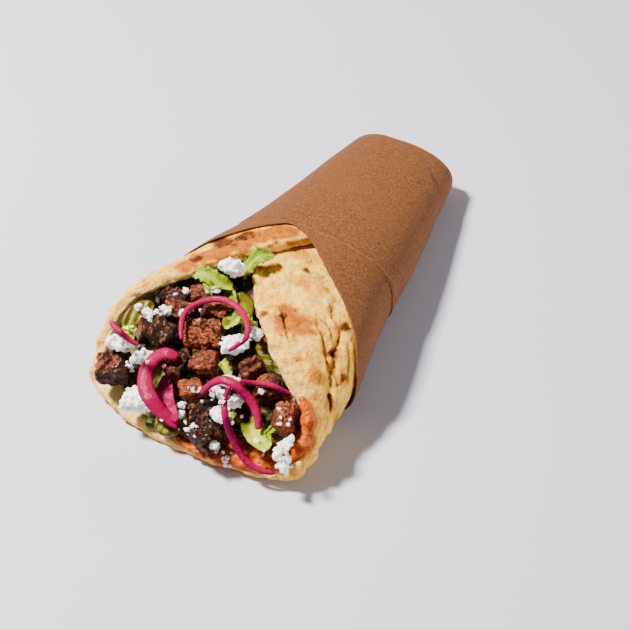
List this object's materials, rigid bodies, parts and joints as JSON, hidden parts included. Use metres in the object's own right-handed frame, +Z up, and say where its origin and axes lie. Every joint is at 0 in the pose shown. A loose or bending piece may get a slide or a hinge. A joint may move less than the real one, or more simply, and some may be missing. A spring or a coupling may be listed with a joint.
{
  "type": "steak pita wrap",
  "caption": "Soft flatbread rolled into a flattened cone in a kraft paper sleeve, with seared steak cubes, feta, pickled onion, gherkin and lettuce in the open slanted mouth.",
  "frame": {"origin": "middle of the bounding box, at the height of the surface that the wrap lies on", "axes": "+Y along the wrap from the filled mouth to the closed tail, +X to the right of someone who looks along +Y, +Z up"},
  "size_m": [0.1192, 0.2354, 0.0549],
  "materials": {
    "baked_crumb": "matt soft flatbread, pale cream with toasted spots",
    "kraft_paper": "matt brown kraft paper",
    "packed_greens": "moist shredded lettuce and meat juices",
    "pepper_spread": "glossy lumpy pepper and cheese spread",
    "seared_steak": "moist seared meat, dark crust and pinkish cut faces",
    "gherkin": "wet translucent gherkin",
    "lettuce_leaf": "thin moist leaf",
    "feta_cheese": "crumbly matt white cheese",
    "pickled_onion": "wet translucent pink onion"
  },
  "bodies": {
    "root": {"feta_01": "feta_cheese", "feta_02": "feta_cheese", "feta_03": "feta_cheese", "feta_04": "feta_cheese", "feta_05": "feta_cheese", "feta_06": "feta_cheese", "feta_07": "feta_cheese", "feta_08": "feta_cheese", "feta_09": "feta_cheese", "feta_10": "feta_cheese", "feta_11": "feta_cheese", "feta_12": "feta_cheese", "feta_13": "feta_cheese", "flatbread": "baked_crumb", "lettuce_01": "lettuce_leaf", "lettuce_02": "lettuce_leaf", "lettuce_03": "lettuce_leaf", "lettuce_04": "lettuce_leaf", "lettuce_05": "lettuce_leaf", "lettuce_06": "lettuce_leaf", "lettuce_07": "lettuce_leaf", "onion_01": "pickled_onion", "onion_02": "pickled_onion", "onion_03": "pickled_onion", "onion_04": "pickled_onion", "onion_05": "pickled_onion", "onion_06": "pickled_onion", "packed_filling": "packed_greens", "paper_sleeve": "kraft_paper", "pickle_01": "gherkin", "pickle_02": "gherkin", "pickle_03": "gherkin", "pickle_04": "gherkin", "pickle_05": "gherkin", "pickle_06": "gherkin", "pickle_07": "gherkin", "spicy_spread": "pepper_spread", "steak_01": "seared_steak", "steak_02": "seared_steak", "steak_03": "seared_steak", "steak_04": "seared_steak", "steak_05": "seared_steak", "steak_06": "seared_steak", "steak_07": "seared_steak", "steak_08": "seared_steak", "steak_09": "seared_steak", "steak_10": "seared_steak", "steak_11": "seared_steak", "steak_12": "seared_steak", "steak_13": "seared_steak", "steak_14": "seared_steak", "steak_15": "seared_steak", "steak_16": "seared_steak", "steak_17": "seared_steak", "steak_18": "seared_steak", "steak_19": "seared_steak"}
  },
  "joints": []
}
